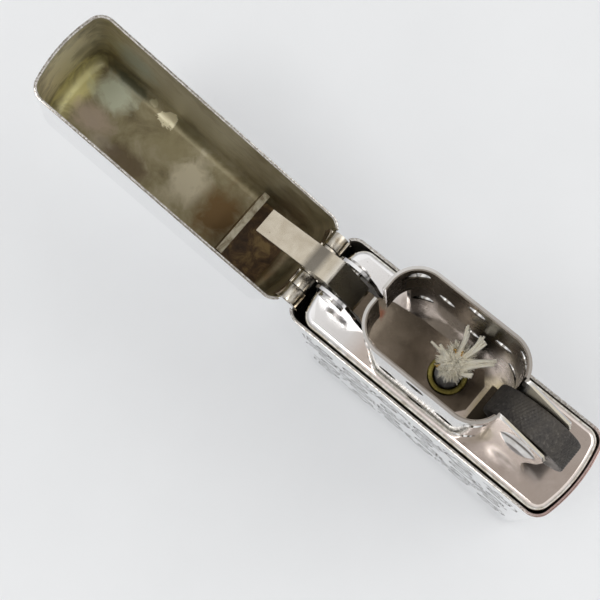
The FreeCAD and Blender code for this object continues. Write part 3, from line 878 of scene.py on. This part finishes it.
def short_tufts():
    """Short fibres that stand out all round the wick's top."""
    tufts = []
    for n in range(700):
        turn = random.uniform(0, 2 * math.pi)
        rise = random.uniform(-0.15, 1.0)
        flat = math.sqrt(max(0.0, 1 - rise * rise))
        out = Vector((math.cos(turn) * flat, math.sin(turn) * flat, rise))
        heart = Vector((0.85, 0.75, 43.3)) + Vector((out.x * 0.5, out.y * 0.9, 0))
        base = heart + out * 0.4
        side = Vector((random.uniform(-1, 1), random.uniform(-1, 1), random.uniform(-0.5, 0.5))) * 0.45
        tip = heart + out * random.uniform(0.9, 1.45) + side
        line = bezier([base, heart + out * 0.95, tip], 6)
        tufts.append(tube("tuft_%d" % n, line, [0.11 - 0.012 * i for i in range(7)], COTTON, 5))
    return tufts


def make_wick():
    body = tube("wick_body", wick_path(), 1.38, COTTON, 40, 0.55, 8, 0.055)
    wick = join([body] + long_yarns() + short_tufts(), "wick_cord")
    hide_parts("wick")
    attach(wick, "insert")


def make_wick_wire():
    """Four copper strands in the wick, each with a small melted bead at its end."""
    copper = steel("copper_finish", (0.50, 0.30, 0.10), (0.90, 0.62, 0.26), (0.15, 0.3))
    strands = []
    tops = (
        (0.75, 0.35, (0.7, 1.9, 44.5)),
        (0.1, 0.95, (0.0, 1.6, 44.5)),
        (-0.7, 0.4, (-0.45, -0.9, 43.7)),
        (-0.35, -0.8, (1.2, -0.6, 43.6)),
    )
    for n, (dx, dy, end) in enumerate(tops):
        low = Vector((WICK_X + dx, dy, 32.1))
        mid = Vector((WICK_X + dx, dy, 41.5))
        top = Vector(end)
        line = [low, low.lerp(mid, 0.5)] + bezier([mid, mid + Vector((0.2, 0.2, 1.6)), top], 8)
        strands.append(tube("strand_%d" % n, line, 0.08, copper, 8))
        heights = (-0.16, -0.08, 0.02, 0.12, 0.17)
        line = [top + Vector((0, 0, height)) for height in heights]
        strands.append(tube("bead_%d" % n, line, [0.10, 0.16, 0.18, 0.13, 0.04], copper, 10))
    wire = join(strands, "wick_strands")
    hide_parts("wick_wire")
    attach(wire, "insert")


make_wick()
make_wick_wire()

# ------------------------------------------------------------- felt and packing


def soft_block(name, node, material, swell, step):
    """A soft lump fitted inside a CAD node's box, with uneven surfaces."""
    low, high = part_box(node)
    centre = (low + high) / 2
    half = (high - low) / 2
    bm = bmesh.new()
    bmesh.ops.create_cube(bm, size=2)
    bmesh.ops.subdivide_edges(bm, edges=bm.edges, cuts=step, use_grid_fill=True)
    phase = sum(ord(c) for c in name)
    for vert in bm.verts:
        p = vert.co.copy()
        round_off = Vector((p.x, p.y, p.z)).normalized() * 1.18
        p = p.lerp(round_off, swell)
        wave = (
            math.sin(7 * p.x + phase) * math.sin(6 * p.z + 1.3 * phase)
            + 0.6 * math.sin(13 * p.y + 9 * p.x + phase)
            + 0.4 * math.sin(17 * p.z - 11 * p.x)
        )
        p *= 0.93 + 0.025 * wave
        p = Vector([max(-1, min(1, v)) for v in p])
        vert.co = Vector((centre.x + p.x * half.x, centre.y + p.y * half.y, centre.z + p.z * half.z))
    mesh = bpy.data.meshes.new(name)
    bm.to_mesh(mesh)
    bm.free()
    for poly in mesh.polygons:
        poly.use_smooth = True
    mesh.materials.append(material)
    obj = bpy.data.objects.new(name, mesh)
    bpy.context.scene.collection.objects.link(obj)
    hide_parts(node)
    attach(obj, "insert")
    return obj


RAYON = cotton("packing_finish", (0.70, 0.68, 0.62), (0.93, 0.92, 0.89))
FELT = cotton("felt_finish", (0.55, 0.54, 0.50), (0.82, 0.81, 0.77))
for number in range(1, 7):
    wad = soft_block("wad_%d" % number, "packing_%d" % number, RAYON, 0.35, 14)


def make_felt():
    """Flat pressed pad with a hole for the flint screw."""
    low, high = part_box("felt_pad")
    half_x = (high.x - low.x) / MM / 2
    half_y = (high.y - low.y) / MM / 2
    outer = []
    inner = []
    count = 96
    for i in range(count):
        a = 2 * math.pi * i / count
        c = math.cos(a)
        s = math.sin(a)
        sx = math.copysign(abs(c) ** 0.22, c)
        sy = math.copysign(abs(s) ** 0.22, s)
        grow = 1 - 0.012 * (1 + math.sin(5 * a + 1) * math.sin(11 * a))
        outer.append((FELT_X + sx * half_x * grow, sy * half_y * grow))
    for x, y in outer:
        ring = math.atan2(y, x - WHEEL_X)
        inner.append((WHEEL_X + FELT_HOLE_R * math.cos(ring), FELT_HOLE_R * math.sin(ring)))
    floor = low.z / MM
    roof = high.z / MM
    levels = ((floor + 0.05, 0.985), (floor + 0.5, 1.0), (roof - 0.5, 1.0), (roof - 0.05, 0.985))
    verts = []
    faces = []
    for z, scale in levels:
        for x, y in outer:
            ripple = 0.05 * math.sin(3 * x + 2 * y)
            verts.append((FELT_X + (x - FELT_X) * scale, y * scale, z + ripple))
    for z, scale in levels:
        for x, y in inner:
            verts.append((x, y, z))
    for level in range(3):
        for i in range(count):
            n = (i + 1) % count
            a = level * count
            b = (level + 4) * count
            faces.append((a + i, a + n, a + count + n, a + count + i))
            faces.append((b + n, b + i, b + count + i, b + count + n))
    for i in range(count):
        n = (i + 1) % count
        faces.append((i, 4 * count + i, 4 * count + n, n))
        faces.append((3 * count + n, 7 * count + n, 7 * count + i, 3 * count + i))
    felt = mesh_object("felt_base", verts, faces, FELT)
    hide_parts("felt_pad")
    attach(felt, "insert")


make_felt()

# ------------------------------------------------------------------- engraving


def spiral(cx, cz, start_r, end_r, start, sweep, steps=48):
    """Points of a spiral on the front face, from its outer end inwards."""
    out = []
    for i in range(steps + 1):
        t = i / steps
        r = start_r + (end_r - start_r) * t
        a = start + sweep * t
        out.append((cx + r * math.cos(a), cz + r * math.sin(a)))
    return out


def ribbon(line, width, y):
    """A tapered flat line on the front face."""
    verts = []
    faces = []
    count = len(line)
    for i, (x, z) in enumerate(line):
        ax, az = line[max(i - 1, 0)]
        bx, bz = line[min(i + 1, count - 1)]
        length = math.hypot(bx - ax, bz - az) or 1
        nx = -(bz - az) / length
        nz = (bx - ax) / length
        w = width * (0.25 + 0.75 * math.sin(math.pi * i / (count - 1)) ** 0.6) / 2
        verts.append((x + nx * w, y, z + nz * w))
        verts.append((x - nx * w, y, z - nz * w))
    for i in range(count - 1):
        faces.append((2 * i, 2 * i + 1, 2 * i + 3, 2 * i + 2))
    return verts, faces


def make_engraving():
    """Rows of plain scrolls with small leaves, as thin dark lines on the front face."""
    lines = []
    for side in (-1, 1):
        for row, cz in enumerate((28.4, 22.2, 16.0, 9.8)):
            for col, cx in enumerate((2.7, 8.2, 13.3)):
                spin = side * (1 if (row + col) % 2 else -1)
                size = 3.0 if col == 1 else 2.5
                phase = 0.8 * row + 1.1 * col
                x = side * cx
                bold = 0.34 if row == 0 else 0.26
                lines.append((spiral(x, cz, size, 0.3, phase, spin * 9.0), bold))
                lines.append((spiral(x, cz, size * 0.8, 0.2, phase + 0.25, spin * 7.6), 0.12))
                for leaf in range(5):
                    a = phase + spin * (0.3 + 0.6 * leaf)
                    bx = x + size * math.cos(a)
                    bz = cz + size * math.sin(a)
                    lines.append((spiral(bx, bz, 0.1, 1.3, a, -spin * 1.5, 16), 0.24))
    verts = []
    faces = []
    for line, width in lines:
        new_verts, new_faces = ribbon(line, width, -CASE_HALF[1] - 0.006)
        faces += [tuple(i + len(verts) for i in face) for face in new_faces]
        verts += new_verts
    cut = mesh_object("front_engraving", verts, faces, engraving_material())
    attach(cut, "case")


make_engraving()

# ----------------------------------------------------------------- studio stage


def area(name, place, aim, size, power):
    """A square lamp that faces a point."""
    light = bpy.data.lights.new(name, "AREA")
    light.shape = "RECTANGLE"
    light.size = size
    light.size_y = size
    light.energy = power
    obj = bpy.data.objects.new(name, light)
    obj.location = place
    obj.rotation_euler = (Vector(aim) - Vector(place)).to_track_quat("-Z", "Y").to_euler()
    bpy.context.scene.collection.objects.link(obj)


def make_stage():
    """A wide pale floor, a soft room and two soft lamps."""
    signs = ((-1, -1), (1, -1), (1, 1), (-1, 1))
    corners = [(sx * FLOOR_HALF, sy * FLOOR_HALF, FLOOR_Z) for sx, sy in signs]
    floor = mesh_object("studio_floor", corners, [(0, 1, 2, 3)], floor_material())
    make_world()
    area("key", (0.30, 0.28, 0.45), (0, 0, 0.03), 0.35, 0.45)
    area("overhead", (-0.05, -0.17, 0.56), (-0.02, 0, 0.03), 0.16, 0.50)


def make_world():
    """Bright soft room, darker low down, with a dim patch overhead."""
    world = bpy.data.worlds.new("studio")
    bpy.context.scene.world = world
    world.use_nodes = True
    tree = world.node_tree
    coords = tree.nodes.new("ShaderNodeTexCoord")
    dot = tree.nodes.new("ShaderNodeVectorMath")
    dot.operation = "DOT_PRODUCT"
    tree.links.new(coords.outputs["Generated"], dot.inputs[0])
    dot.inputs[1].default_value = (0.17, 0.03, 0.985)
    ramp = tree.nodes.new("ShaderNodeValToRGB")
    stops = (
        (0.0, (0.71, 0.72, 0.73)),
        (0.10, (0.70, 0.71, 0.72)),
        (0.22, (0.44, 0.44, 0.45)),
        (0.45, (0.70, 0.70, 0.71)),
        (0.76, (1.02, 1.02, 1.02)),
        (0.925, (1.06, 1.06, 1.05)),
        (0.960, (0.52, 0.49, 0.46)),
        (0.980, (0.45, 0.42, 0.39)),
    )
    fill_ramp(ramp, stops)
    tree.links.new(dot.outputs["Value"], ramp.inputs[0])
    back = tree.nodes["Background"]
    tree.links.new(ramp.outputs[0], back.inputs["Color"])
    back.inputs["Strength"].default_value = 1.0


def make_camera():
    """Camera almost straight above the lighter."""
    cam = bpy.data.cameras.new("camera")
    cam.sensor_width = 36.0
    cam.lens = 71.63
    cam.clip_start = 0.005
    obj = bpy.data.objects.new("camera", cam)
    right = Vector((0.75805, 0.64647, -0.08616))
    up = Vector((-0.62337, 0.75704, 0.19571))
    back = Vector((0.19175, -0.09465, 0.97687))
    turn = Matrix((right, up, back)).transposed().to_4x4()
    obj.matrix_world = Matrix.Translation(Vector((8.510, -17.001, 170.496)) * MM) @ turn
    bpy.context.scene.collection.objects.link(obj)
    bpy.context.scene.camera = obj


make_stage()
make_camera()
bpy.context.scene.view_settings.view_transform = "Standard"
